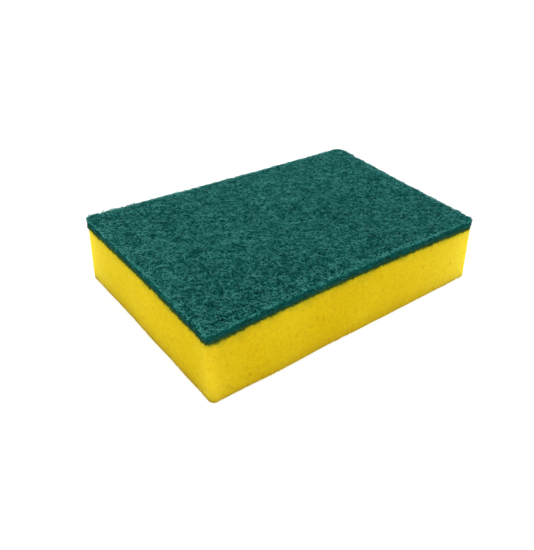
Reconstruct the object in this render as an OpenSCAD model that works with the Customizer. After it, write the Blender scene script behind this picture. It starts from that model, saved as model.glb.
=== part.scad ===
// Cleaning sponge: a block of open-cell foam with a slab of scouring fibre bonded to its top.
// Millimetres, +Z up. The origin is the centre of the foam's underside, X runs along the length.

/* [Foam block] */
// Length of the foam, end to end between its corners
foam_length = 110; // [70:1:180]
// Width of the foam, side to side between its corners
foam_width = 70; // [45:1:120]
// Height of the foam under the pad
foam_height = 20; // [10:0.5:45]
// Radius of the foam's upright corners
foam_corner_r = 2; // [1:0.5:8]

/* [Scouring pad] */
// Thickness of the fibre slab
pad_thickness = 3.5; // [2:0.5:10]
// How far the slab stands out past the foam all round
pad_overhang = 0.5; // [0.1:0.1:2]
// Radius of the slab's upright corners
pad_corner_r = 2; // [1:0.5:8]

/* [Cut edges] */
// How far the middle of each long side is drawn in, because foam is squeezed as it is cut
long_side_hollow = 0.6; // [0.2:0.1:2]
// How far the middle of each end is drawn in
end_hollow = 0.3; // [0.1:0.1:2]
// Straight run of a side between each rounded corner and the start of its hollow
corner_land = 1; // [0.5:0.5:5]

/* [Hidden] */

// The slab follows the foam's outline with the same step out on every side
pad_length = foam_length + 2 * pad_overhang;
pad_width = foam_width + 2 * pad_overhang;

// Enough facets for a shallow arc that spans a whole side
hollow_facets = 720;
corner_facets = 48;

// Radius of the circle whose arc over this chord is this deep
function hollow_radius(chord, depth) = (chord * chord / 4 + depth * depth) / (2 * depth);

// Rectangle with rounded corners, centred on the origin
module rounded_rectangle(length, width, corner_r) {
    square([length - 2 * corner_r, width], center = true);
    square([length, width - 2 * corner_r], center = true);
    for (side_x = [-1, 1], side_y = [-1, 1])
        translate([side_x * (length / 2 - corner_r), side_y * (width / 2 - corner_r)])
            circle(r = corner_r, $fn = corner_facets);
}

// Outline of a slab that was cut while it was squeezed: each side is a shallow hollow arc
module cut_outline(length, width, corner_r) {
    straight_ends = 2 * (corner_r + corner_land);
    long_r = hollow_radius(length - straight_ends, long_side_hollow);
    end_r = hollow_radius(width - straight_ends, end_hollow);
    difference() {
        rounded_rectangle(length, width, corner_r);
        for (side = [-1, 1]) {
            translate([0, side * (width / 2 - long_side_hollow + long_r)])
                circle(r = long_r, $fn = hollow_facets);
            translate([side * (length / 2 - end_hollow + end_r), 0])
                circle(r = end_r, $fn = hollow_facets);
        }
    }
}

// The foam stands on the ground plane, with square edges at its bottom and its top
module foam_block() {
    color("gold")
        linear_extrude(height = foam_height)
            cut_outline(foam_length, foam_width, foam_corner_r);
}

// The slab is bonded over the foam's whole top, so it starts at the height where the foam ends
module scouring_pad() {
    color("darkslategray")
        translate([0, 0, foam_height])
            linear_extrude(height = pad_thickness)
                cut_outline(pad_length, pad_width, pad_corner_r);
}

foam_block();
scouring_pad();
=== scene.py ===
# %% [markdown]
# # A cleaning sponge: foam below, scouring fibre on top
#
# The real object is made of two slabs. The lower one is yellow polyurethane foam, full of tiny open
# cells. The upper one is a mat of tangled nylon fibres, dyed green, with abrasive resin on them. The
# two are bonded over a whole face and then cut to size together, so they share one outline.
#
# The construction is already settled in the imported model: it gives each slab's place and size. This
# lesson gives both their looks, in metres, around that fixed frame.

import math

import bpy
import numpy as np
from mathutils import Matrix, Vector, kdtree


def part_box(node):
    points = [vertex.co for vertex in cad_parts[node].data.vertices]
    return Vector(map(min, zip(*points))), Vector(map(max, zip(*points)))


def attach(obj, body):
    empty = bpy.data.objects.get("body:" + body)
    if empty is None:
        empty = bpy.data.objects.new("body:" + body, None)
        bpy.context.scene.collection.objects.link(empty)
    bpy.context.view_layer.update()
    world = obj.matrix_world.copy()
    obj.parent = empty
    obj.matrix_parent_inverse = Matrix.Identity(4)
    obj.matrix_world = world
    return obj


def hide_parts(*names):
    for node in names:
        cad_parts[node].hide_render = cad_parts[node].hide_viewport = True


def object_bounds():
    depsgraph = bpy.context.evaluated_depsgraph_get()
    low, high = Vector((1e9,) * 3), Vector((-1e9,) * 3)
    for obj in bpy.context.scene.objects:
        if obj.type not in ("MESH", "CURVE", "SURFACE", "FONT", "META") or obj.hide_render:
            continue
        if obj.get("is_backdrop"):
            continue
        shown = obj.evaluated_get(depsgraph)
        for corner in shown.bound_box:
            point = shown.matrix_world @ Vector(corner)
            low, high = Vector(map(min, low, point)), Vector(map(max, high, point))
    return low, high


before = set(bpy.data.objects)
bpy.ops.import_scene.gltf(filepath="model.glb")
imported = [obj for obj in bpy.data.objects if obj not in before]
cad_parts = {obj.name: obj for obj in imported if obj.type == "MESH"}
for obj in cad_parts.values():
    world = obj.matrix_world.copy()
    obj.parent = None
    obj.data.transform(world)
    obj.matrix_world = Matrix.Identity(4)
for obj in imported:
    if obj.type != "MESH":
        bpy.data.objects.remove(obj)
cad_low, cad_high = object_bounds()
foam_low, foam_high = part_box("foam_block")
pad_low, pad_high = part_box("scouring_pad")
MM = 0.001
scene = bpy.context.scene
print("foam block, mm:", [round(side / MM, 2) for side in foam_high - foam_low])
print("scouring pad, mm:", [round(side / MM, 2) for side in pad_high - pad_low])

# %% [markdown]
# ## The camera
#
# A camera could be placed by eye, but a sponge is a plain box, so its edges say where the camera must
# be. It stands a little under two sponge lengths away, above the near left corner, and is tipped by a
# few degrees. It is aimed by three angles about a point near the middle of the sponge.
#
# The three axes are worked out one by one and put in one matrix, because a tipped camera is awkward to say as
# Euler angles.

# %% Place the camera
AZIMUTH = math.radians(-39.96)
ELEVATION = math.radians(34.67)
ROLL = math.radians(3.82)
LENS_MM = 39.08
foam_length = foam_high.x - foam_low.x
camera_distance = 1.9305 * foam_length
aim_right = -0.053 * foam_length
aim_up = 0.0011 * foam_length


def camera_axes(azimuth, elevation, roll):
    """The camera's right, up and back directions."""
    back = Vector((
        math.sin(azimuth) * math.cos(elevation),
        -math.cos(azimuth) * math.cos(elevation),
        math.sin(elevation),
    ))
    right = Vector((math.cos(azimuth), math.sin(azimuth), 0))
    up = back.cross(right)
    rolled_right = right * math.cos(roll) + up * math.sin(roll)
    rolled_up = up * math.cos(roll) - right * math.sin(roll)
    return rolled_right, rolled_up, back


right, up, back = camera_axes(AZIMUTH, ELEVATION, ROLL)
camera_data = bpy.data.cameras.new("camera")
camera_data.lens = LENS_MM
camera_data.sensor_width = 36.0
camera_data.clip_start = 0.005
camera_data.clip_end = 50.0
camera = bpy.data.objects.new("camera", camera_data)
scene.collection.objects.link(camera)
turn = Matrix((right, up, back)).transposed().to_4x4()
camera.matrix_world = Matrix.Translation(right * aim_right + up * aim_up + back * camera_distance) @ turn
scene.camera = camera
print("camera at, mm:", [round(v / MM, 1) for v in camera.location])

# %% [markdown]
# ## The studio
#
# A cut-out look needs a floor that is nearly white and light from all round. The sky gives most of
# the light, and the floor glows a little, so that hardly any shadow shows on it. Two small lamps low
# behind the sponge brighten the far ends of the foam and the back of the fibre.
#
# The Standard view transform keeps the foam's yellow as strong as it is painted. A filmic one would
# wash it out.

# %% Light the studio
SKY_STRENGTH = 1.06
LAMP_SIDE = 0.16
LAMPS = [
    # name, place in metres, watts
    ("lamp_behind_right", (0.48, 0.30, 0.10), 0.45),
    ("lamp_behind_left", (0.10, 0.56, 0.10), 0.3),
]
scene.view_settings.view_transform = "Standard"
scene.view_settings.look = "None"
world = bpy.data.worlds.new("soft_sky")
scene.world = world
world.use_nodes = True
sky = world.node_tree.nodes["Background"]
sky.inputs["Color"].default_value = (1.0, 1.0, 1.0, 1)
sky.inputs["Strength"].default_value = SKY_STRENGTH


def aimed_lamp(name, place, target, watts):
    """A square area lamp at place that faces target."""
    data = bpy.data.lights.new(name, "AREA")
    data.shape = "SQUARE"
    data.size = LAMP_SIDE
    data.energy = watts
    lamp = bpy.data.objects.new(name, data)
    scene.collection.objects.link(lamp)
    lamp.location = place
    lamp.rotation_mode = "QUATERNION"
    lamp.rotation_quaternion = (Vector(place) - Vector(target)).to_track_quat("Z", "Y")


for name, place, watts in LAMPS:
    aimed_lamp(name, place, (foam_low + pad_high) / 2, watts)
print("lamps:", len(LAMPS))

# %% Lay the floor
FLOOR_SIDE = 12.0
FLOOR_GLOW = 0.45
half = FLOOR_SIDE / 2
level = foam_low.z - 0.1 * MM
corners = [(-half, -half, level), (half, -half, level), (half, half, level), (-half, half, level)]
floor_mesh = bpy.data.meshes.new("floor")
floor_mesh.from_pydata(corners, [], [(0, 1, 2, 3)])
floor = bpy.data.objects.new("floor", floor_mesh)
scene.collection.objects.link(floor)
floor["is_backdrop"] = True
floor_paint = bpy.data.materials.new("floor_paint")
floor_paint.use_nodes = True
floor_shader = floor_paint.node_tree.nodes["Principled BSDF"]
floor_shader.inputs["Base Color"].default_value = (0.93, 0.93, 0.93, 1)
floor_shader.inputs["Roughness"].default_value = 0.9
floor_shader.inputs["Specular IOR Level"].default_value = 0.1
floor_shader.inputs["Emission Color"].default_value = (1.0, 1.0, 1.0, 1)
floor_shader.inputs["Emission Strength"].default_value = FLOOR_GLOW
floor_mesh.materials.append(floor_paint)
print("floor side, m:", FLOOR_SIDE)

# %% [markdown]
# ## The cut outline, shared by both slabs
#
# The slabs are squeezed while a blade cuts them, and spring back afterwards. That leaves every side a
# little hollow and every upright corner rounded. The near long side is drawn in the most, and no two
# corners are quite alike.
#
# An outline could be a list of points. A rule is better: a square lattice is bent onto the outline, so
# the same rule serves the foam, the fibre mat and the loose fibres, at any density of points.
#
# Where a value differs from corner to corner, the four are given in the order near left, near right,
# far right, far left.

# %% Bend a square onto the cut outline
NEAR_HOLLOW = 1.2 * MM
FAR_HOLLOW = 0.6 * MM
END_HOLLOW = 0.45 * MM
SKEW_MARGIN = 0.1


def by_corner(x, y, values):
    """Picks, for each point, the value of its own corner."""
    near = np.where(x < 0, values[0], values[1])
    far = np.where(x < 0, values[3], values[2])
    return np.where(y < 0, near, far)


def long_hollow(y):
    """How far the long side nearest each point is drawn in at its middle."""
    return np.where(y < 0, NEAR_HOLLOW, FAR_HOLLOW)


def skewed(x, y, half_x, half_y, shifts):
    """Moves each point by a blend of the four corners' shifts, as a cut that is not quite square does."""
    east = np.clip(0.5 + x / half_x / 2, -SKEW_MARGIN, 1 + SKEW_MARGIN)
    north = np.clip(0.5 + y / half_y / 2, -SKEW_MARGIN, 1 + SKEW_MARGIN)
    weights = ((1 - east) * (1 - north), east * (1 - north), east * north, (1 - east) * north)
    move_x = sum(w * shift[0] * MM for w, shift in zip(weights, shifts))
    move_y = sum(w * shift[1] * MM for w, shift in zip(weights, shifts))
    return x + move_x, y + move_y


def cut_outline(x, y, half_x, half_y, radii):
    """Moves points of the rectangle half_x by half_y onto the cut outline: round corners, hollow sides."""
    radius = by_corner(x, y, radii)
    past_x = np.maximum(np.abs(x) - (half_x - radius), 0)
    past_y = np.maximum(np.abs(y) - (half_y - radius), 0)
    reach = np.hypot(past_x, past_y)
    shrink = np.where(reach > 0, np.maximum(past_x, past_y) / np.maximum(reach, 1e-12), 1.0)
    x = x - np.sign(x) * past_x * (1 - shrink)
    y = y - np.sign(y) * past_y * (1 - shrink)
    draw_y = long_hollow(y) * np.clip(1 - (x / (half_x - radius)) ** 2, 0, 1)
    draw_x = END_HOLLOW * np.clip(1 - (y / (half_y - radius)) ** 2, 0, 1)
    return x * (1 - draw_x / half_x), y * (1 - draw_y / half_y)


def outline_depth(x, y, half_x, half_y, radii):
    """How far a point lies outside the cut outline (negative inside), and the outward direction there."""
    radius = by_corner(x, y, radii)
    side_x = half_x - END_HOLLOW * np.clip(1 - (y / half_y) ** 2, 0, 1)
    side_y = half_y - long_hollow(y) * np.clip(1 - (x / half_x) ** 2, 0, 1)
    qx = np.abs(x) - (side_x - radius)
    qy = np.abs(y) - (side_y - radius)
    past_x, past_y = np.maximum(qx, 0), np.maximum(qy, 0)
    outside = np.hypot(past_x, past_y)
    depth = outside + np.minimum(np.maximum(qx, qy), 0) - radius
    corner = outside > 1e-9
    nx = np.where(corner, past_x / np.maximum(outside, 1e-9), (qx > qy) * 1.0) * np.sign(x)
    ny = np.where(corner, past_y / np.maximum(outside, 1e-9), (qx <= qy) * 1.0) * np.sign(y)
    return depth, nx, ny


print("sides drawn in by, mm:", [round(v / MM, 2) for v in (NEAR_HOLLOW, FAR_HOLLOW, END_HOLLOW)])

# %% [markdown]
# ## Helpers for meshes and for natural unevenness
#
# A mesh can be made point by point, but these pieces have up to a hundred thousand points, so whole
# arrays are handed over at once.
#
# Nothing soft is quite flat. A handful of waves with random directions, added up, gives a smooth
# unevenness that has no grain of its own, and a seed makes it the same on every run.

# %% Make a mesh from arrays
def mesh_object(name, points, faces):
    """A smooth mesh object from an array of points and a list of arrays of faces, one for each face size."""
    mesh = bpy.data.meshes.new(name)
    loops = np.concatenate([f.ravel() for f in faces]).astype(np.int32)
    sizes = np.concatenate([np.full(len(f), f.shape[1]) for f in faces]).astype(np.int32)
    starts = np.concatenate([[0], np.cumsum(sizes)[:-1]]).astype(np.int32)
    mesh.vertices.add(len(points))
    mesh.vertices.foreach_set("co", np.asarray(points, np.float32).ravel())
    mesh.loops.add(len(loops))
    mesh.loops.foreach_set("vertex_index", loops)
    mesh.polygons.add(len(sizes))
    mesh.polygons.foreach_set("loop_start", starts)
    mesh.update(calc_edges=True)
    mesh.validate()
    mesh.polygons.foreach_set("use_smooth", np.full(len(mesh.polygons), True))
    piece = bpy.data.objects.new(name, mesh)
    scene.collection.objects.link(piece)
    return piece


def triangle_count(piece):
    """How many triangles a piece comes to."""
    return sum(len(p.vertices) - 2 for p in piece.data.polygons)


def point_normals(piece):
    """The outward direction at each of a piece's points."""
    normals = np.zeros(len(piece.data.vertices) * 3)
    piece.data.vertices.foreach_get("normal", normals)
    return normals.reshape(-1, 3)


def give_values(piece, name, values):
    """Stores one value for each point of a piece, for its material to read."""
    layer = piece.data.attributes.new(name, "FLOAT", "POINT")
    layer.data.foreach_set("value", values.astype(np.float32))


def waves(points, wavelength, seed, count=14):
    """A smooth unevenness from about -1 to 1 at each point, with no direction of its own."""
    rng = np.random.default_rng(seed)
    direction = rng.normal(size=(count, 3))
    direction /= np.linalg.norm(direction, axis=1)[:, None]
    pitch = wavelength * rng.uniform(0.6, 1.7, count)
    phase = rng.uniform(0, 2 * math.pi, count)
    total = np.zeros(len(points))
    for k in range(count):
        total += np.sin(points @ direction[k] * (2 * math.pi / pitch[k]) + phase[k])
    return total / math.sqrt(count * 0.5) / 2


# %% Wrap a lattice round a block
def block_lattice(steps, hidden_side):
    """The points (as whole steps) and faces of a block's skin. The hidden side, "top" or "bottom", is one
    many-sided face, because nobody sees it."""
    nx, ny, nz = steps
    number = np.full((nx + 1, ny + 1, nz + 1), -1)
    i, j, k = np.meshgrid(np.arange(nx + 1), np.arange(ny + 1), np.arange(nz + 1), indexing="ij")
    rim = (i == 0) | (i == nx) | (j == 0) | (j == ny)
    open_level = 0 if hidden_side == "top" else nz
    skin = rim | (k == open_level)
    number[skin] = np.arange(skin.sum())
    points = np.stack([i[skin], j[skin], k[skin]], 1)

    def quads(grid, turned):
        """The four-sided faces between a grid of points, turned over where they would face inward."""
        a, b, c, d = grid[:-1, :-1], grid[1:, :-1], grid[1:, 1:], grid[:-1, 1:]
        if turned:
            b, d = d, b
        return np.stack([a.ravel(), b.ravel(), c.ravel(), d.ravel()], 1)

    shown = [
        quads(number[0], True),
        quads(number[nx], False),
        quads(number[:, 0], False),
        quads(number[:, ny], True),
        quads(number[:, :, open_level], hidden_side == "top"),
    ]
    far = number[:, :, nz - open_level]
    loop = np.concatenate([far[:-1, 0], far[-1, :-1], far[:0:-1, -1], far[0, :0:-1]])
    if hidden_side == "bottom":
        loop = loop[::-1]
    return points, [np.concatenate(shown), loop[None, :]]


# %% [markdown]
# ## The foam block
#
# The foam is one closed block. Its sides are cut, so they are nearly flat, with rounded upright
# corners and a small round at the bottom edge, and they lean a little because the blade drifts. The
# surface is broken by open cells: most are too small to see one by one, and some burst ones are about
# a millimetre wide.
#
# Bump alone could draw the cells, but it leaves the outline smooth. So the lattice is fine enough
# (0.4 mm) to carry the larger cells as real dents, and only the finest ones are left to bump.

# %% Shape the foam
FOAM_STEP = 0.4 * MM
FOAM_RADII = (2.0 * MM, 1.5 * MM, 2.0 * MM, 1.2 * MM)
EDGE_ROUND = 0.6 * MM
FOOT_FILL = 0.91
TOP_SHIFTS = ((0, 0), (-0.3, 0.0), (0.4, -1.1), (-0.6, 0.4))
BOTTOM_SHIFTS = ((-0.1, -2.4), (0.4, -1.8), (0.4, -0.8), (-0.6, 0.0))

foam_half_x = (foam_high.x - foam_low.x) / 2
foam_half_y = (foam_high.y - foam_low.y) / 2
foam_height = foam_high.z - foam_low.z
foam_steps = [max(2, round(side / FOAM_STEP)) for side in (foam_half_x * 2, foam_half_y * 2, foam_height)]
foam_places, foam_faces = block_lattice(foam_steps, "top")
foam_share = foam_places / np.array(foam_steps)
foam_flat_x = (foam_share[:, 0] * 2 - 1) * foam_half_x
foam_flat_y = (foam_share[:, 1] * 2 - 1) * foam_half_y


def foam_shape():
    """Places the lattice's points on the cut foam block. The near side's hollow fills out towards the
    foot, and each corner leans from its top shift to its bottom shift."""
    z = foam_share[:, 2] * foam_height
    drop = 1 - z / foam_height
    x, y = cut_outline(foam_flat_x, foam_flat_y, foam_half_x, foam_half_y, FOAM_RADII)
    filled = NEAR_HOLLOW * FOOT_FILL * np.clip(1 - (x / foam_half_x) ** 2, 0, 1)
    y = y + drop * filled * np.minimum(y / foam_half_y, 0)
    turn_in = np.clip(1 - z / EDGE_ROUND, 0, 1)
    inset = EDGE_ROUND * (1 - np.sqrt(1 - turn_in**2))
    depth, nx, ny = outline_depth(x, y, foam_half_x, foam_half_y, FOAM_RADII)
    near_rim = np.clip(1 + depth / (EDGE_ROUND * 2), 0, 1)
    x = x - nx * inset * near_rim
    y = y - ny * inset * near_rim
    top_x, top_y = skewed(x, y, foam_half_x, foam_half_y, TOP_SHIFTS)
    low_x, low_y = skewed(x, y, foam_half_x, foam_half_y, BOTTOM_SHIFTS)
    x = top_x + drop * (low_x - top_x)
    y = top_y + drop * (low_y - top_y)
    return np.stack([x, y, z + foam_low.z], 1)


foam_points = foam_shape()
foam = mesh_object("foam", foam_points, foam_faces)
print("foam lattice", foam_steps, "triangles", triangle_count(foam))

# %% [markdown]
# ## The foam's open cells
#
# Where the blade cuts through a bubble it leaves a shallow round dent. Small ones are everywhere and
# large ones are rare, so there are two kinds, each with its own number to the square centimetre.
#
# Boolean cuts with thousands of balls would be slow and leave ragged faces. Pressing the lattice's own
# points inward keeps the mesh closed and even.

# %% Press in the open cells
BROAD_UNEVENNESS = 0.16 * MM
CLOSE_UNEVENNESS = 0.05 * MM
CELL_KINDS = [
    # cells in a square centimetre, smallest and largest radius, depth as a share of the radius
    (24, 0.35 * MM, 0.55 * MM, 0.35),
    (1.2, 0.55 * MM, 0.85 * MM, 0.30),
]


def skin_spots(piece, per_square_cm, rng):
    """Random points spread evenly over a piece's faces, apart from the one hidden many-sided face."""
    mesh = piece.data
    area = np.zeros(len(mesh.polygons))
    centre = np.zeros(len(mesh.polygons) * 3)
    corners = np.zeros(len(mesh.polygons), np.int32)
    mesh.polygons.foreach_get("area", area)
    mesh.polygons.foreach_get("center", centre)
    mesh.polygons.foreach_get("loop_total", corners)
    area[corners > 4] = 0
    total = area.sum()
    picked = rng.choice(len(area), int(total * 1e4 * per_square_cm), p=area / total)
    return centre.reshape(-1, 3)[picked]


def press_cells(piece, points, kinds, seed):
    """Dents the mesh with round cells. Returns how deep each point went, as a share of the deepest."""
    rng = np.random.default_rng(seed)
    tree = kdtree.KDTree(len(points))
    for index, point in enumerate(points):
        tree.insert(point, index)
    tree.balance()
    sunk = np.zeros(len(points))
    pressed = 0
    for per_square_cm, small, large, share_deep in kinds:
        spots = skin_spots(piece, per_square_cm, rng)
        radii = rng.uniform(small, large, len(spots))
        for spot, radius in zip(spots, radii):
            for _, index, distance in tree.find_range(spot, radius):
                depth = radius * share_deep * (1 - (distance / radius) ** 2)
                sunk[index] = max(sunk[index], depth)
            pressed += 1
    print("cells pressed:", pressed, "deepest, mm:", round(sunk.max() / MM, 2))
    return points - point_normals(piece) * sunk[:, None], sunk / sunk.max()


uneven = waves(foam_points, 30 * MM, 11) * BROAD_UNEVENNESS
uneven += waves(foam_points, 7 * MM, 12) * CLOSE_UNEVENNESS
foam_normals = point_normals(foam)
on_side = (foam_share[:, 2] > 0) & (foam_share[:, 2] < 1)
foam_points = foam_points + foam_normals * (uneven * on_side)[:, None]
foam_points, cell_depth = press_cells(foam, foam_points, CELL_KINDS, 21)
foam_points[foam_share[:, 2] == 1, 2] = foam_high.z
foam_points[:, 2] = np.maximum(foam_points[:, 2], foam_low.z)
foam.data.vertices.foreach_set("co", foam_points.astype(np.float32).ravel())
foam.data.update()
give_values(foam, "cell_depth", cell_depth)

# %% [markdown]
# ## Where the foam is shaded and where it is pale
#
# Foam is darkest in two lines: under the fibre, where glue stains it and painted shade darkens it, and along
# the foot, where a painted contact shadow darkens it. It is palest at the upright corners, where a painted
# glow stands for light passing through the thin edge.
#
# A shader could guess all this from normals. Here the distances are known exactly, so each point of
# the mesh simply carries three values from 0 to 1.

# %% Work out where the foam is shaded and where it is pale
# Reach of the glue stain and painted shade under the pad.
GLUE_AND_SHADE_REACH = 1.0 * MM
# Painted contact shadow along the foot, deeper and taller on the left end.
FOOT_REACH = 2.2 * MM
FOOT_SOFT = 0.62
FOOT_CRISP = 0.5
LEFT_EXTRA_SHADE = 0.35
LEFT_LOW_SHADE = 0.09
LEFT_LOW_SHADE_REACH = 7 * MM
CRISP_TOP = 1.3
RIM_REACH = 1.2 * MM
# Painted glow at each upright corner: how far it reaches and how strong it is.
CORNER_GLOW_REACHES = (3.0 * MM, 12.0 * MM, 8.0 * MM, 9.0 * MM)
CORNER_GLOW_STRENGTHS = (0.42, 1.0, 0.8, 0.95)


def bond_shade():
    """Glue stain and painted shade under the pad: strongest against it, with a ragged lower edge."""
    below_pad = foam_high.z - foam_points[:, 2]
    ragged = 1 + 0.35 * waves(foam_points, 2.5 * MM, 22) + 0.25 * waves(foam_points, 9 * MM, 23)
    return np.exp(-below_pad / (GLUE_AND_SHADE_REACH * ragged.clip(0.4, 2)))


def foot_shade():
    """A painted contact shadow, strongest at the foot and on the left end, and gone from the flat underside.
    """
    above_floor = foam_points[:, 2] - foam_low.z
    shade = FOOT_SOFT * np.exp(-above_floor / FOOT_REACH)
    shade = shade + FOOT_CRISP * np.clip(CRISP_TOP - above_floor / MM, 0, 1)
    facing_left = np.clip(-foam_normals[:, 0], 0, 1)
    left_low_shade = LEFT_LOW_SHADE * facing_left * np.exp(-above_floor / LEFT_LOW_SHADE_REACH)
    shade = shade * (1 + LEFT_EXTRA_SHADE * facing_left) + left_low_shade
    from_rim = np.minimum(foam_half_x - np.abs(foam_flat_x), foam_half_y - np.abs(foam_flat_y))
    return shade.clip(0, 1) * np.exp(-from_rim / RIM_REACH)


def corner_glow():
    """A painted glow, strongest at the upright corners, each with its own strength and reach."""
    x, y = foam_points[:, 0], foam_points[:, 1]
    from_corner = (foam_half_x - np.abs(x)) + (foam_half_y - np.abs(y))
    return by_corner(x, y, CORNER_GLOW_STRENGTHS) * np.exp(-from_corner.clip(0) / by_corner(x, y, CORNER_GLOW_REACHES))


give_values(foam, "bond_shade", bond_shade())
give_values(foam, "foot_shade", foot_shade())
give_values(foam, "corner_glow", corner_glow())
print("foam values stored:", [layer.name for layer in foam.data.attributes if layer.data_type == "FLOAT"])

# %% [markdown]
# ## Node helpers
#
# Each material is a small graph of nodes. A few short helpers keep the graph readable: one adds a
# node, one joins two values, and one turns a value into colours.
#
# All three materials need fine speckle, and a broad drift of tone. That is one effect with different
# numbers, so it is a shader node group, made once and placed in each.

# %% Short ways to add nodes
def add_node(tree, kind, **inputs):
    """Adds a node and sets its inputs by name. A value that is a socket is linked."""
    node = tree.nodes.new(kind)
    for name, value in inputs.items():
        if isinstance(value, bpy.types.NodeSocket):
            tree.links.new(value, node.inputs[name])
        else:
            node.inputs[name].default_value = value
    return node


def grey(value):
    """A grey, as a triple."""
    return (value, value, value)


def colour_ramp(tree, factor, stops):
    """A colour ramp with (place, (r, g, b)) stops."""
    ramp = tree.nodes.new("ShaderNodeValToRGB")
    tree.links.new(factor, ramp.inputs["Fac"])
    elements = ramp.color_ramp.elements
    while len(elements) < len(stops):
        elements.new(0.5)
    for element, (place, colour) in zip(elements, stops):
        element.position = place
        element.color = (*colour, 1)
    return ramp.outputs["Color"]


def mix_colours(tree, factor, first, second, blend="MIX"):
    """Mixes two colours, each a socket or a triple."""
    node = tree.nodes.new("ShaderNodeMix")
    node.data_type = "RGBA"
    node.blend_type = blend
    for socket, value in ((node.inputs["Factor"], factor), (node.inputs[6], first), (node.inputs[7], second)):
        if isinstance(value, bpy.types.NodeSocket):
            tree.links.new(value, socket)
        elif isinstance(value, tuple):
            socket.default_value = (*value, 1)
        else:
            socket.default_value = value
    return node.outputs[2]


def math_node(tree, operation, first, second, clamp=False):
    """One sum. Each term is a socket or a number."""
    node = tree.nodes.new("ShaderNodeMath")
    node.operation = operation
    node.use_clamp = clamp
    for socket, value in zip(node.inputs, (first, second)):
        if isinstance(value, bpy.types.NodeSocket):
            tree.links.new(value, socket)
        else:
            socket.default_value = value
    return node.outputs[0]


def stored_value(tree, name):
    """A value stored on the mesh's points."""
    node = tree.nodes.new("ShaderNodeAttribute")
    node.attribute_name = name
    return node.outputs["Fac"]


def place_on_object(tree):
    """The place on the object, in metres."""
    return add_node(tree, "ShaderNodeTexCoord").outputs["Object"]


def height_of(tree, place):
    """The height of a place."""
    return add_node(tree, "ShaderNodeSeparateXYZ", Vector=place).outputs["Z"]


def new_material(name):
    """An empty node material, its tree and its Principled shader."""
    material = bpy.data.materials.new(name)
    material.use_nodes = True
    tree = material.node_tree
    return material, tree, tree.nodes["Principled BSDF"]


def finish_surface(tree, shader, colour, roughness, shine):
    """Gives the shader its colour and its roughness, and sets how much it shines."""
    tree.links.new(colour, shader.inputs["Base Color"])
    tree.links.new(roughness, shader.inputs["Roughness"])
    shader.inputs["Specular IOR Level"].default_value = shine


def add_bump(tree, shader, height, strength, distance):
    """Bumps the surface by a height."""
    bump = add_node(tree, "ShaderNodeBump", Strength=strength, Distance=distance, Height=height)
    tree.links.new(bump.outputs["Normal"], shader.inputs["Normal"])


# %% Build the shared drift and speckle group
def drift_and_speckle_group():
    """A group that puts out a broad drift and a fine speckle, both about 0 to 1, from a place in metres."""
    group = bpy.data.node_groups.new("drift_and_speckle", "ShaderNodeTree")
    sockets = group.interface
    sockets.new_socket(name="Place", in_out="INPUT", socket_type="NodeSocketVector")
    for name in ("Drift size", "Speckle size"):
        sockets.new_socket(name=name, in_out="INPUT", socket_type="NodeSocketFloat")
    for name in ("Drift", "Speckle"):
        sockets.new_socket(name=name, in_out="OUTPUT", socket_type="NodeSocketFloat")
    start = group.nodes.new("NodeGroupInput")
    end = group.nodes.new("NodeGroupOutput")
    place = start.outputs["Place"]
    for size, result, detail in (("Drift size", "Drift", 2.0), ("Speckle size", "Speckle", 3.0)):
        scale = math_node(group, "DIVIDE", 1.0, start.outputs[size])
        noise = add_node(group, "ShaderNodeTexNoise", Vector=place, Scale=scale, Detail=detail)
        group.links.new(noise.outputs["Fac"], end.inputs[result])
    return group


drift_and_speckle = drift_and_speckle_group()


def place_drift_and_speckle(tree, place, drift_size, speckle_size):
    """Puts the group in a material. Returns its drift and speckle sockets."""
    node = tree.nodes.new("ShaderNodeGroup")
    node.node_tree = drift_and_speckle
    tree.links.new(place, node.inputs["Place"])
    node.inputs["Drift size"].default_value = drift_size
    node.inputs["Speckle size"].default_value = speckle_size
    return node.outputs["Drift"], node.outputs["Speckle"]


print("shared group:", drift_and_speckle.name)

# %% [markdown]
# ## The foam's finish
#
# Foam is matt, and light soaks a few millimetres into it and comes out again, so thin edges glow towards
# lemon and deep parts turn to ochre. Subsurface scattering gives that, and a painted glow at the upright
# corners adds to it, though painted light looks right from one side only.
#
# The finest cells are a Voronoi pattern used as bump. A coarser one picks out a few cells to be darker and a
# few to be lighter. The pressed cells carry their depth as a value on the mesh, so the same value darkens
# their floors with painted shade.

# %% Make the foam material
FOAM_OCHRE = (0.62, 0.437, 0.002)
FOAM_YELLOW = (0.675, 0.493, 0.007)
FOAM_MOTTLE = (0.86, 0.83, 0.60)
DARK_CELL = (0.52, 0.29, 0.004)
LIGHT_CELL = (0.75, 0.60, 0.06)
# Colour of the painted glow at the upright corners.
CORNER_GLOW_COLOUR = (0.80, 0.63, 0.034)
# Colour of the painted contact shadow at the foot.
FOOT_SHADOW_BROWN = (0.20, 0.155, 0.008)
# Colour of the glue stain and painted shade under the pad.
GLUE_AND_SHADE_OLIVE = (0.14, 0.18, 0.012)
# Colour of the painted shade on the floors of the pressed cells.
CELL_FLOOR_SHADE = (0.48, 0.26, 0.003)
CELL_SHADE = 0.4
SPECK_SIZE = 1.2 * MM
FINE_CELL_SIZE = 0.55 * MM


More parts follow.
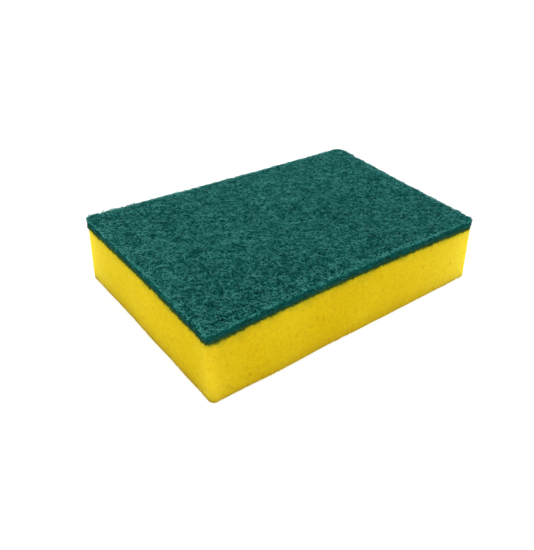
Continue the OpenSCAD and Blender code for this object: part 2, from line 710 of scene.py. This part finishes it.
def foam_colour(tree, place, drift, speckle):
    """The foam's colour, from its broad tone to its single cells, with a painted glow at its upright corners,
    painted shadow at its foot, glue stain and painted shade under the pad, and painted shade in its pressed
    cells.
    """
    base = colour_ramp(tree, drift, [(0.3, FOAM_OCHRE), (0.7, FOAM_YELLOW)])
    mottled = colour_ramp(tree, speckle, [(0.3, FOAM_MOTTLE), (0.7, grey(1.0))])
    colour = mix_colours(tree, 1.0, base, mottled, "MULTIPLY")
    specks = add_node(tree, "ShaderNodeTexVoronoi", Vector=place, Scale=1 / SPECK_SIZE)
    spot = colour_ramp(tree, specks.outputs["Distance"], [(0.12, grey(1.0)), (0.34, grey(0.0))])
    lot = add_node(tree, "ShaderNodeSeparateColor", Color=specks.outputs["Color"]).outputs["Red"]
    dark_lot = colour_ramp(tree, lot, [(0.30, grey(0.65)), (0.42, grey(0.0))])
    light_lot = colour_ramp(tree, lot, [(0.72, grey(0.0)), (0.95, grey(0.35))])
    colour = mix_colours(tree, math_node(tree, "MULTIPLY", spot, dark_lot), colour, DARK_CELL)
    colour = mix_colours(tree, math_node(tree, "MULTIPLY", spot, light_lot), colour, LIGHT_CELL)
    # Painted light: the upright corners are painted paler, as if lit through the thin edge.
    colour = mix_colours(tree, stored_value(tree, "corner_glow"), colour, CORNER_GLOW_COLOUR)
    # Painted shadow: a contact shadow along the foot, deeper on the left end.
    colour = mix_colours(tree, stored_value(tree, "foot_shade"), colour, FOOT_SHADOW_BROWN)
    # Glue stain and painted shade under the pad.
    colour = mix_colours(tree, stored_value(tree, "bond_shade"), colour, GLUE_AND_SHADE_OLIVE)
    # Painted shade on the floors of the pressed cells.
    hollow = math_node(tree, "MULTIPLY", stored_value(tree, "cell_depth"), CELL_SHADE, clamp=True)
    return mix_colours(tree, hollow, colour, CELL_FLOOR_SHADE)


def foam_material():
    """Yellow open-cell foam."""
    material, tree, shader = new_material("yellow_foam")
    place = place_on_object(tree)
    drift, speckle = place_drift_and_speckle(tree, place, 22 * MM, 0.6 * MM)
    cells = add_node(tree, "ShaderNodeTexVoronoi", Vector=place, Scale=1 / FINE_CELL_SIZE)
    cell_wall = cells.outputs["Distance"]
    rough = colour_ramp(tree, cell_wall, [(0.0, grey(0.95)), (0.8, grey(0.75))])
    finish_surface(tree, shader, foam_colour(tree, place, drift, speckle), rough, 0.04)
    height = math_node(tree, "ADD", cell_wall, math_node(tree, "MULTIPLY", speckle, 0.5))
    add_bump(tree, shader, height, 0.35, 0.12 * MM)
    shader.inputs["Subsurface Weight"].default_value = 0.8
    shader.inputs["Subsurface Radius"].default_value = (1.0, 0.75, 0.12)
    shader.inputs["Subsurface Scale"].default_value = 4.5 * MM
    return material


foam.data.materials.append(foam_material())
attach(foam, "root")
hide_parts("foam_block")
print("foam material nodes:", len(foam.data.materials[0].node_tree.nodes))

# %% [markdown]
# ## The scouring pad's mat
#
# The pad is a felt of nylon fibres. Deep in it no single fibre shows: it is a dark, lumpy mass, dark from its
# dye and from shade. So the pad is a lumpy slab for the depth, coloured darker than the fibres as painted
# shade, with thousands of real fibres laid over its top and its cut edge.
# The mat comes off its machine as a long web, so its lumps are drawn out along one direction, the
# grain.
#
# Fibres could be hair curves, but they would be missing from the exported meshes. Thin tubes made
# here are part of the model wherever it goes.

# %% Shape the mat
MAT_STEP = 0.8 * MM
MAT_INSET = 0.35 * MM
MAT_SINK = 0.65 * MM
LUMP_HEIGHT = 0.05 * MM
STREAK_HEIGHT = 0.06 * MM
EDGE_LUMP = 0.10 * MM
PAD_RADII = (1.0 * MM, 2.4 * MM, 4.0 * MM, 2.4 * MM)
PAD_SHIFTS = ((0, 0), (-0.9, 0), (1.8, -0.2), (-0.3, 1.0))
GRAIN_ANGLE = math.radians(158)
GRAIN_STRETCH = 3.5

pad_half_x = (pad_high.x - pad_low.x) / 2
pad_half_y = (pad_high.y - pad_low.y) / 2
pad_height = pad_high.z - pad_low.z


def along_grain(x, y):
    """Places drawn together along the mat's grain, so that waves over them come out as streaks."""
    along = x * math.cos(GRAIN_ANGLE) + y * math.sin(GRAIN_ANGLE)
    across = y * math.cos(GRAIN_ANGLE) - x * math.sin(GRAIN_ANGLE)
    return np.stack([along / GRAIN_STRETCH, across, np.zeros_like(x)], 1)


def mat_relief(x, y):
    """The lumps of the mat's top, in metres above or below its middle height."""
    flat = np.stack([x, y, np.zeros_like(x)], 1)
    lumps = waves(flat, 9 * MM, 31) * LUMP_HEIGHT
    return lumps + waves(along_grain(x, y), 2.2 * MM, 32, 40) * STREAK_HEIGHT


def mat_shape(share, half_x, half_y, height):
    """Places the lattice's points on the mat's core, which is a little smaller than the pad."""
    x = (share[:, 0] * 2 - 1) * half_x
    y = (share[:, 1] * 2 - 1) * half_y
    x, y = cut_outline(x, y, half_x, half_y, PAD_RADII)
    x, y = skewed(x, y, half_x, half_y, PAD_SHIFTS)
    z = pad_low.z + share[:, 2] * (height + mat_relief(x, y))
    points = np.stack([x, y, z], 1)
    push = waves(points, 2.4 * MM, 33) * EDGE_LUMP * (share[:, 2] > 0)
    return points + push[:, None] * np.array([1, 1, 0])


mat_size = ((pad_half_x - MAT_INSET) * 2, (pad_half_y - MAT_INSET) * 2, pad_height - MAT_SINK)
mat_steps = [max(2, round(side / MAT_STEP)) for side in mat_size]
mat_places, mat_faces = block_lattice(mat_steps, "bottom")
mat_points = mat_shape(mat_places / np.array(mat_steps), mat_size[0] / 2, mat_size[1] / 2, mat_size[2])
mat = mesh_object("pad_mat", mat_points, mat_faces)
print("mat lattice", mat_steps, "triangles", triangle_count(mat))

# %% Make the mat material
# The mat's greens are darker than the fibres' dye: partly painted shade of the pad's depth.
MAT_DARK = (0.001, 0.038, 0.034)
MAT_GREEN = (0.005, 0.100, 0.086)
GLUE_LINE = (0.006, 0.012, 0.020)
GLUE_TOP = 0.5 * MM
GLUE_FADE = 0.6 * MM


def mat_material():
    """The dark depth between the fibres, its greens darkened as painted shade of that depth, darkest where
    the glue lies.
    """
    material, tree, shader = new_material("deep_green_mat")
    place = place_on_object(tree)
    drift, speckle = place_drift_and_speckle(tree, place, 6 * MM, 0.7 * MM)
    drift_part = math_node(tree, "MULTIPLY", drift, 0.4)
    speckle_part = math_node(tree, "MULTIPLY", speckle, 0.6)
    mixed = math_node(tree, "ADD", drift_part, speckle_part)
    green = colour_ramp(tree, mixed, [(0.35, MAT_DARK), (0.65, MAT_GREEN)])
    above_glue = math_node(tree, "SUBTRACT", height_of(tree, place), pad_low.z + GLUE_TOP)
    glue = math_node(tree, "MULTIPLY", above_glue, -1 / GLUE_FADE, clamp=True)
    rough = colour_ramp(tree, speckle, [(0.3, grey(0.95)), (0.7, grey(0.8))])
    finish_surface(tree, shader, mix_colours(tree, glue, green, GLUE_LINE), rough, 0.02)
    add_bump(tree, shader, speckle, 0.8, 0.25 * MM)
    return material


mat.data.materials.append(mat_material())
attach(mat, "root")
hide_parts("scouring_pad")
print("mat material nodes:", len(mat.data.materials[0].node_tree.nodes))

# %% [markdown]
# ## The fibres
#
# Each fibre is a curly line: it sets off in a random direction and keeps turning a little, while it
# dips in and out of the mat. A line becomes a thin tube of three sides that closes to a point at both
# ends, which is round enough at this size and costs 18 triangles.
#
# All the lines are worked out together as arrays, so forty thousand take about a second.

# %% Turn lines into tubes
LINE_POINTS = 5
TUBE_SIDES = 3


def tubes(lines, radius):
    """The points and faces of thin tubes along lines, an array of (line, point, 3)."""
    count, along = lines.shape[:2]
    tangent = np.gradient(lines, axis=1)
    tangent /= np.maximum(np.linalg.norm(tangent, axis=2), 1e-9)[:, :, None]
    upward = np.zeros_like(tangent)
    upward[:, :, 2] = 1
    side = np.cross(tangent, upward)
    side /= np.maximum(np.linalg.norm(side, axis=2), 1e-6)[:, :, None]
    lift = np.cross(side, tangent)
    angle = math.pi / 2 - np.arange(TUBE_SIDES) * 2 * math.pi / TUBE_SIDES
    across = side[:, 1:-1, None, :] * np.cos(angle)[:, None] + lift[:, 1:-1, None, :] * np.sin(angle)[:, None]
    ring = lines[:, 1:-1, None, :] + radius[:, None, None, None] * across
    points = np.concatenate([ring.reshape(count, -1, 3), lines[:, :1], lines[:, -1:]], axis=1)
    rings = along - 2
    per_line = rings * TUBE_SIDES + 2
    r, s = np.meshgrid(np.arange(rings - 1) * TUBE_SIDES, np.arange(TUBE_SIDES), indexing="ij")
    r, s = r.ravel(), s.ravel()
    after = (s + 1) % TUBE_SIDES
    quad = np.stack([r + s, r + after, r + TUBE_SIDES + after, r + TUBE_SIDES + s], 1)
    s = np.arange(TUBE_SIDES)
    after = (s + 1) % TUBE_SIDES
    last = (rings - 1) * TUBE_SIDES
    tips = np.concatenate([
        np.stack([np.full(TUBE_SIDES, per_line - 2), after, s], 1),
        np.stack([np.full(TUBE_SIDES, per_line - 1), last + s, last + after], 1),
    ])
    offset = (np.arange(count) * per_line)[:, None, None]
    return points.reshape(-1, 3), [(quad[None] + offset).reshape(-1, 4), (tips[None] + offset).reshape(-1, 3)]


print("triangles to a fibre:", 2 * TUBE_SIDES * (LINE_POINTS - 2))

# %% [markdown]
# ## Fibres over the top
#
# On a real pad the fibres lie in every direction, but more of them along the grain. They form a close
# pile that rounds over at the rim, and where one meets the cut edge it loops back.
#
# Purely random starts would leave bald patches, so each fibre starts somewhere in its own square of a
# grid.

# %% Grow lines over the top
FIBRE_LENGTH = (1.1 * MM, 2.7 * MM)
TOP_CURL = 0.22
WOBBLE = 0.45
GRAIN_PULL = 0.33
PILE_TOP = 0.16 * MM
# Each smallest and largest.
PILE_MM = (-0.36, 0.0)
DIP_MM = (0.10, 0.34)
DIP_PACE = (0.9, 2.0)
# The middle value and the spread.
PROUD_MM = (-0.05, 0.12)
RIM_ROUND = 1.2 * MM
RIM_DROP = 0.42
FAR_RIM_LIFT = 0.16


def wander(rng, count, length, curl, pull=0.0):
    """Headings and steps of lines that keep turning: angle and step length for each stretch. The pull,
    from 0 to 0.5, gathers their first headings along the grain."""
    start = rng.uniform(0, 2 * math.pi, count)[:, None]
    start = start - pull * np.sin(2 * (start - GRAIN_ANGLE))
    bend = rng.normal(0, curl, count)[:, None]
    wobble = np.cumsum(rng.normal(0, WOBBLE, (count, LINE_POINTS - 1)), axis=1)
    heading = start + bend * np.arange(LINE_POINTS - 1) + wobble
    return heading, (length / (LINE_POINTS - 1))[:, None]


def run_of(first, moves):
    """Coordinates along each line from its first value and its moves."""
    return np.concatenate([first[:, None], first[:, None] + np.cumsum(moves, axis=1)], axis=1)


def pad_depth(x, y):
    """How far a point lies outside the pad's outline, and the outward direction there."""
    return outline_depth(x, y, pad_half_x, pad_half_y, PAD_RADII)


def turned_back(x, y, allowed):
    """Folds points that pass the outline by more than allowed back inside, as a fibre loops at a cut edge."""
    for _ in range(2):
        depth, nx, ny = pad_depth(x, y)
        extra = np.maximum(depth - allowed, 0)
        x = x - nx * extra * 2
        y = y - ny * extra * 2
    return x, y


def even_places(rng, count):
    """Random places on the pad, one in each square of a grid, so that no patch is left bare."""
    rows = round(math.sqrt(count * pad_half_y / pad_half_x))
    columns = math.ceil(count / rows)
    index = rng.permutation(rows * columns)[:count]
    x = ((index % columns) + rng.uniform(0, 1, count)) / columns * 2 - 1
    y = ((index // columns) + rng.uniform(0, 1, count)) / rows * 2 - 1
    return x * pad_half_x, y * pad_half_y


def top_fibres(rng, count):
    """Lines laid over the pad's top."""
    length = rng.uniform(*FIBRE_LENGTH, count)
    heading, step = wander(rng, count, length, TOP_CURL, GRAIN_PULL)
    start_x, start_y = even_places(rng, count)
    x = run_of(start_x, np.cos(heading) * step)
    y = run_of(start_y, np.sin(heading) * step)
    x -= (x.mean(axis=1) - x[:, 0])[:, None]
    y -= (y.mean(axis=1) - y[:, 0])[:, None]
    proud = rng.normal(*PROUD_MM, count)[:, None] * MM
    x, y = turned_back(x, y, proud)
    place = rng.uniform(*PILE_MM, count)[:, None] * MM
    dip = rng.uniform(*DIP_MM, count)[:, None] * MM
    phase = rng.uniform(0, 2 * math.pi, count)[:, None]
    pace = rng.uniform(*DIP_PACE, count)[:, None]
    z = pad_high.z - PILE_TOP + place + dip * np.sin(phase + pace * np.arange(LINE_POINTS))
    z = z + mat_relief(x.ravel(), y.ravel()).reshape(x.shape)
    depth, nx, ny = pad_depth(x, y)
    drop = RIM_DROP - FAR_RIM_LIFT * np.clip(np.maximum(nx, ny), 0, 1)
    z = z - RIM_ROUND * np.clip(1 + depth / RIM_ROUND, 0, 1.3) ** 2 * drop
    return np.stack([x, y, z], 2)


# %% [markdown]
# ## Fibres round the cut edge
#
# The blade leaves the pad's side fairly flat. Most fibres there run along it, some cut ends stand out
# at the rim and at the foot, and the lowest ones hang a little over the foam.
#
# Each of the three kinds starts from the same walk round the outline, so the corners are covered like
# the straights.

# %% Walk round the outline
def outline_walk(samples=720):
    """Points and outward directions at even steps round the pad's outline, and its whole length."""
    across = np.linspace(-pad_half_x, pad_half_x, samples)
    deep = np.linspace(-pad_half_y, pad_half_y, samples)
    end = np.full(samples, pad_half_x)
    side = np.full(samples, pad_half_y)
    loop_x = np.concatenate([across, end, across[::-1], -end])
    loop_y = np.concatenate([-side, deep, side, deep[::-1]])
    loop_x, loop_y = cut_outline(loop_x, loop_y, pad_half_x, pad_half_y, PAD_RADII)
    stretch = np.hypot(np.diff(loop_x, append=loop_x[0]), np.diff(loop_y, append=loop_y[0]))
    passed = np.concatenate([[0], np.cumsum(stretch)])
    even = np.linspace(0, passed[-1], samples * 4, endpoint=False)
    walk_x = np.interp(even, passed, np.append(loop_x, loop_x[0]))
    walk_y = np.interp(even, passed, np.append(loop_y, loop_y[0]))
    _, nx, ny = pad_depth(walk_x, walk_y)
    return walk_x, walk_y, nx, ny, passed[-1]


walk_x, walk_y, walk_nx, walk_ny, walk_length = outline_walk()
print("round the pad, mm:", round(walk_length / MM, 1))


def edge_spots(rng, count):
    """Random spots on the outline: each one's place, outward direction and direction along the edge."""
    index = rng.integers(0, len(walk_x), count)
    flat = np.zeros(count)
    place = np.stack([walk_x[index], walk_y[index], flat], 1)
    outward = np.stack([walk_nx[index], walk_ny[index], flat], 1)
    along = np.stack([-walk_ny[index], walk_nx[index], flat], 1)
    return place, outward, along


# %% Grow lines round the cut edge
EDGE_LENGTH = (1.8 * MM, 4.5 * MM)
EDGE_CURL = 0.2
EDGE_LEAN = 0.45
EDGE_TOP = pad_height - 0.45 * MM
EDGE_FOOT = -0.35 * MM
EDGE_LEVELS = (-0.02, 0.88)
# The middle value and the spread.
EDGE_PROUD_MM = (-0.22, 0.08)
EDGE_SWAY_MM = 0.14
STRAY_REACH = (0.6 * MM, 1.3 * MM)
STRAY_TOP = 3.3 * MM
STRAYS_AT_FOOT = 0.3
# The least, and the most that chance adds.
HANG_MM = (0.3, 1.5)


def edge_fibres(rng, count):
    """Lines along the cut side of the pad."""
    length = rng.uniform(*EDGE_LENGTH, count)
    heading, step = wander(rng, count, length, EDGE_CURL)
    distance = run_of(rng.uniform(0, walk_length, count), np.cos(heading) * step)
    z = run_of(rng.uniform(*EDGE_LEVELS, count) * pad_height, EDGE_LEAN * np.sin(heading) * step)
    z = np.where(z > EDGE_TOP, 2 * EDGE_TOP - z, z)
    z = np.where(z < EDGE_FOOT, 2 * EDGE_FOOT - z, z)
    phase = rng.uniform(0, 2 * math.pi, count)[:, None]
    sway = EDGE_SWAY_MM * np.sin(phase + 0.9 * np.arange(LINE_POINTS))
    proud = (rng.normal(*EDGE_PROUD_MM, count)[:, None] + sway) * MM
    index = (distance / walk_length * len(walk_x)).astype(int) % len(walk_x)
    x = walk_x[index] + walk_nx[index] * proud
    y = walk_y[index] + walk_ny[index] * proud
    return np.stack([x, y, pad_low.z + z], 2)


def stray_ends(rng, count):
    """Short ends that stand out of the cut edge and the rim."""
    place, outward, along = edge_spots(rng, count)
    level = rng.choice([0.0, 1.0], count, p=[STRAYS_AT_FOOT, 1 - STRAYS_AT_FOOT]) * pad_height
    level = np.clip(level + rng.normal(0, 0.2, count) * MM, -0.1 * MM, STRAY_TOP)
    root = place - outward * 0.5 * MM
    root[:, 2] = pad_low.z + level
    first = outward * rng.uniform(0.3, 1.0, count)[:, None] + along * rng.normal(0, 0.8, count)[:, None]
    first[:, 2] += rng.normal(0, 0.35, count)
    first /= np.linalg.norm(first, axis=1)[:, None]
    swing = along * rng.normal(0, 1.0, count)[:, None]
    t = np.linspace(0, 1, LINE_POINTS)[None, :, None]
    reach = rng.uniform(*STRAY_REACH, count)[:, None, None]
    return root[:, None, :] + reach * (t * first[:, None, :] + 0.5 * t**2 * swing[:, None, :])


def hanging_ends(rng, count):
    """Short ends of the lowest fibres that hang over the top of the foam, shorter at the corners."""
    root, outward, along = edge_spots(rng, count)
    root[:, 2] = pad_low.z + rng.uniform(0.2, 0.5, count) * MM
    root -= outward * rng.uniform(0.1, 0.3, count)[:, None] * MM
    corner = np.clip(np.abs(outward[:, 0] * outward[:, 1]) * 4, 0, 1)[:, None]
    drop = (HANG_MM[0] + HANG_MM[1] * rng.uniform(0, 1, count)[:, None] ** 2) * (1 - 0.6 * corner)
    swing = rng.normal(0, 0.7, count)[:, None] * (1 - corner)
    bend = rng.normal(0, 0.4, count)[:, None]
    t = np.linspace(0, 1, LINE_POINTS)[None, :]
    sideways = (swing * t + bend * t**2)[:, :, None] * along[:, None, :]
    inward = (-0.25 * t**2)[:, :, None] * outward[:, None, :]
    lines = root[:, None, :] + MM * (sideways + inward)
    lines[:, :, 2] -= drop * t * MM
    return lines


# %% [markdown]
# ## A map cell and a tone for every fibre
#
# When the model is exported its colours are baked to a map. An automatic unwrap of so many slivers
# would leave each one thinner than a dot of the map, so every fibre is unrolled into a square of its
# own.
#
# Each fibre is a little paler or darker than its neighbours. On top of that, light and shade are painted in:
# fibres on top are painted palest, the higher the paler, above all at the rim, and the cut side is painted in
# deep green shade. One number for each point says all that, and the material turns it into colour.

# %% Give every fibre its own cell on one map
MAP_CELLS = 84
CELL_FILL = 0.86


def lay_map(piece, count):
    """Unrolls each fibre into its own square of the map, a strip for each side of the tube."""
    rings = LINE_POINTS - 2
    rows = rings + 1
    inner = CELL_FILL / MAP_CELLS
    margin = (1 - CELL_FILL) / 2 / MAP_CELLS
    corner_x = (np.arange(count) % MAP_CELLS) / MAP_CELLS + margin
    corner_y = (np.arange(count) // MAP_CELLS) / MAP_CELLS + margin
    r, s = np.meshgrid(np.arange(rings - 1) + 1, np.arange(TUBE_SIDES), indexing="ij")
    r, s = r.ravel(), s.ravel()
    quad_u = np.stack([s, s + 1, s + 1, s], 1) / TUBE_SIDES
    quad_v = np.stack([r, r, r + 1, r + 1], 1) / rows
    s = np.arange(TUBE_SIDES)
    tip_u = np.concatenate([np.stack([s + 0.5, s + 1, s], 1), np.stack([s + 0.5, s, s + 1], 1)]) / TUBE_SIDES
    tip_v = np.repeat([[0, 1, 1], [rows, rings, rings]], TUBE_SIDES, axis=0) / rows
    laid = []
    for u, v in ((quad_u, quad_v), (tip_u, tip_v)):
        flat = np.stack([corner_x[:, None, None] + u * inner, corner_y[:, None, None] + v * inner], 3)
        laid.append(flat.ravel())
    layer = piece.data.uv_layers.new(name="OFBake")
    layer.data.foreach_set("uv", np.concatenate(laid).astype(np.float32))


# %% Give every fibre its tone, with painted light and shade
FIBRE_RADIUS = (0.07 * MM, 0.12 * MM)
RIM_BAND = 1.5 * MM
# Reach of the painted rim light, and the tones of the painted lit top and the painted shaded side.
RIM_LIGHT_REACH = 0.9 * MM
TOP_LIT_TONE = 0.44
SIDE_SHADED_TONE = 0.08


def tones_with_light(points, own):
    """How pale each point is, from 0 to 1, with painted light and shade in it: paler higher up and at the
    rim, darker on the cut side. The value own is each fibre's difference from the rest.
    """
    patch = waves(points, 12 * MM, 41) * 0.6 + waves(points, 4 * MM, 42) * 0.5
    streak = waves(along_grain(points[:, 0], points[:, 1]), 1.8 * MM, 43, 40)
    raised = (points[:, 2] - pad_high.z) / MM + 0.5
    depth, facing_end, facing_long = pad_depth(points[:, 0], points[:, 1])
    rim = np.clip(1 + depth / RIM_BAND, 0, 1)
    # Painted light: fibres on top are paler the higher they stand, and paler still at the rim.
    on_top = TOP_LIT_TONE + 0.02 * patch + 0.115 * streak + 0.24 * own + 0.40 * (raised + 0.32 * rim)
    climb = np.clip((points[:, 2] - pad_low.z) / pad_height, 0, 1)
    end_side = np.abs(facing_end)
    far_side = np.clip(np.maximum(facing_end, facing_long), 0, 1)
    # Painted shade: the cut side is dark, paler towards its top and at the ends.
    on_side = SIDE_SHADED_TONE + 0.15 * climb + 0.05 * end_side + 0.12 * patch + 0.20 * own
    start = 0.70 - 0.24 * end_side - 0.25 * far_side
    turn_over = np.clip((climb - start) / (0.25 + 0.15 * end_side), 0, 1)
    # Painted rim light along the top edge, strongest on the far rims.
    rim_light = 0.04 * (1 - end_side) + 0.20 * far_side
    rim_light = rim_light * np.clip(1 + depth / (RIM_LIGHT_REACH * (1 + far_side)), 0, 1)
    return np.clip(on_side * (1 - turn_over) + (on_top + rim_light) * turn_over, 0, 1)


def fibre_piece(name, lines, rng, thinness=1.0):
    """One piece of fibres, each with a tone of its own, on its own map."""
    radius = rng.uniform(*FIBRE_RADIUS, len(lines)) * thinness
    points, faces = tubes(lines, radius)
    own = np.repeat(rng.normal(0, 1, len(lines)), len(points) // len(lines))
    tones_and_light = tones_with_light(points, own)
    points[:, 0], points[:, 1] = skewed(points[:, 0], points[:, 1], pad_half_x, pad_half_y, PAD_SHIFTS)
    piece = mesh_object(name, points, faces)
    lay_map(piece, len(lines))
    give_values(piece, "fibre_tone_and_light", tones_and_light)
    print(name, len(lines), "fibres, triangles", triangle_count(piece))
    return piece


# %% [markdown]
# ## The fibres' finish
#
# The dye is a dark blue-green, and it takes unevenly: some fibres are paler and greyer where resin and grit
# coat them. Each fibre carries one tone, which also holds its painted light and shade, and the colour runs
# from deep green to pale teal by it. The lowest fibres are painted leaf green, a painted reflection of the
# yellow foam's light.

# %% Make the fibre material
DEEP_GREEN = (0.002, 0.056, 0.052)
MIDDLE_GREEN = (0.010, 0.186, 0.160)
PALE_TEAL = (0.115, 0.475, 0.430)
# Painted reflection of the foam's yellow light on the lowest fibres: its colour, top, reach and strength.
FOAM_BOUNCE_GREEN = (0.055, 0.118, 0.014)
FOAM_GLOW_TOP = 1.7 * MM
FOAM_GLOW_REACH = 1.6 * MM
FOAM_GLOW = 0.95
UNEVENNESS = 1.4


def fibre_material():
    """Green nylon with a little resin on it."""
    material, tree, shader = new_material("green_fibre")
    place = place_on_object(tree)
    drift, speckle = place_drift_and_speckle(tree, place, 5 * MM, 0.3 * MM)
    unevenness = math_node(tree, "MULTIPLY", math_node(tree, "SUBTRACT", speckle, 0.5), UNEVENNESS)
    tone = math_node(tree, "ADD", stored_value(tree, "fibre_tone_and_light"), unevenness, clamp=True)
    colour = colour_ramp(tree, tone, [(0.1, DEEP_GREEN), (0.5, MIDDLE_GREEN), (0.95, PALE_TEAL)])
    # Painted reflection: the lowest fibres are tinted leaf green as if lit by the yellow foam below.
    above_foam = math_node(tree, "SUBTRACT", height_of(tree, place), pad_low.z + FOAM_GLOW_TOP)
    foam_glow = math_node(tree, "MULTIPLY", above_foam, -FOAM_GLOW / FOAM_GLOW_REACH, clamp=True)
    rough = colour_ramp(tree, drift, [(0.3, grey(0.95)), (0.7, grey(0.75))])
    finish_surface(tree, shader, mix_colours(tree, foam_glow, colour, FOAM_BOUNCE_GREEN), rough, 0.03)
    return material


green_fibre = fibre_material()
print("fibre material nodes:", len(green_fibre.node_tree.nodes))

# %% [markdown]
# ## Lay all the fibres
#
# One mesh with all the fibres would be too heavy to bake well, so the top's fibres are dealt into five
# pieces that lie among each other, and the edge is a sixth. The loose ends are thinner than the rest.

# %% Make the fibre pieces
TOP_PIECES = 5
TOP_FIBRES = 6900
EDGE_FIBRES = 3300
STRAY_ENDS = 1700
HANGING_ENDS = 2000
LOOSE_THINNESS = 0.65
fibre_pieces = []
for number in range(TOP_PIECES):
    rng = np.random.default_rng(51 + number)
    fibre_pieces.append(fibre_piece(f"pad_fibres_top_{number + 1}", top_fibres(rng, TOP_FIBRES), rng))
rng = np.random.default_rng(61)
edge_lines = np.concatenate([
    edge_fibres(rng, EDGE_FIBRES),
    stray_ends(rng, STRAY_ENDS),
    hanging_ends(rng, HANGING_ENDS),
])
thinness = np.repeat((1.0, LOOSE_THINNESS), (EDGE_FIBRES, STRAY_ENDS + HANGING_ENDS))
fibre_pieces.append(fibre_piece("pad_fibres_edge", edge_lines, rng, thinness))
for piece in fibre_pieces:
    piece.data.materials.append(green_fibre)
    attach(piece, "root")

# %% [markdown]
# ## How far the pieces stand proud
#
# Fibres stand a little proud of the imported model. How far the shown pieces stand proud of its box is
# printed, the low x, y and z sides first and then the high ones.

# %% Print how far the pieces stand proud
seen_low, seen_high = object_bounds()
past_box = (cad_low - seen_low)[:] + (seen_high - cad_high)[:]
print("proud of the packed model, mm:", [round(v / MM, 2) for v in past_box])
